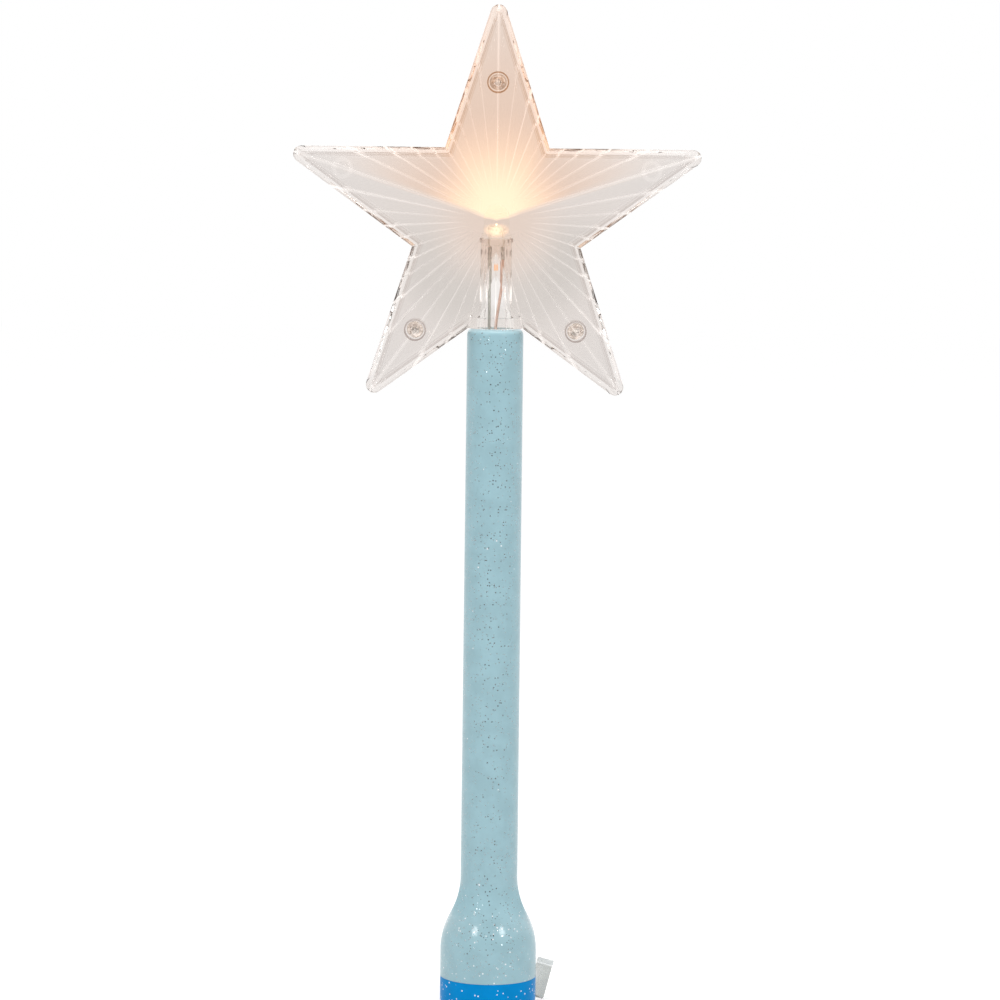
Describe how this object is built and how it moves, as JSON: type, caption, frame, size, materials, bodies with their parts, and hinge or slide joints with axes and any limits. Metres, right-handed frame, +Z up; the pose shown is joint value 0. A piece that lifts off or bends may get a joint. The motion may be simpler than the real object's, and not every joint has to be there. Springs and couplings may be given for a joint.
{
  "type": "toy magic wand",
  "caption": "Toy wand: a clear ribbed star lit by a lamp, on a glitter shaft with a flared bell, an end cap, a push button, a screwed battery door and a clear pull tab.",
  "frame": {"origin": "centre of the end cap's flat foot, on the shaft's axis", "axes": "+Z up the shaft towards the star, front of the star towards -Y, button on the rear (+Y)"},
  "size_m": [0.13, 0.0335, 0.3232],
  "materials": {
    "clear_shell": "clear moulded, glossy",
    "clear_holder": "clear moulded",
    "lamp_epoxy": "clear cast, lit",
    "lamp_light": "lit",
    "lead_metal": "tinned",
    "screw_steel": "zinc plated",
    "red_insulation": "smooth",
    "black_insulation": "smooth",
    "pale_glitter": "glossy, with fine glitter in the plastic",
    "blue_glitter": "glossy, with fine glitter in the plastic",
    "white_plastic": "moulded",
    "cell_steel": "nickel plated",
    "contact_metal": "stamped",
    "board_green": "solder mask",
    "black_plastic": "moulded",
    "clear_film": "thin clear film"
  },
  "bodies": {
    "wand": {"star_front": "clear_shell", "star_rear": "clear_shell", "star_screws": "screw_steel", "lamp_holder": "clear_holder", "lamp_lens": "lamp_epoxy", "lamp_chip": "lamp_light", "lamp_leads": "lead_metal", "lead_sleeves": "lead_metal", "wire_red": "red_insulation", "wire_black": "black_insulation", "wand_shaft": "pale_glitter", "end_cap": "blue_glitter", "battery_holder": "white_plastic", "holder_screws": "screw_steel", "cell_lower": "cell_steel", "cell_middle": "cell_steel", "cell_upper": "cell_steel", "contact_positive": "contact_metal", "contact_strap": "contact_metal", "circuit_board": "board_green", "board_screws": "screw_steel", "control_chip": "black_plastic", "switch_body": "black_plastic"},
    "button": {"power_button": "blue_glitter", "switch_plunger": "white_plastic"},
    "door": {"battery_door": "blue_glitter", "door_screw": "screw_steel", "contact_negative": "contact_metal"},
    "tab": {"pull_tab": "clear_film"}
  },
  "joints": [
    {"name": "button_press", "type": "slide", "parent": "wand", "child": "button", "axis": [0, -1, 0], "range_m": [0, 0.0008], "stiffness_N_per_m": 600},
    {"name": "door_lift", "type": "slide", "parent": "wand", "child": "door", "axis": [0, 0, -1], "range_m": [0, 0.012]},
    {"name": "tab_pull", "type": "slide", "parent": "wand", "child": "tab", "axis": [0.788, 0.6157, 0], "range_m": [0, 0.02]}
  ]
}
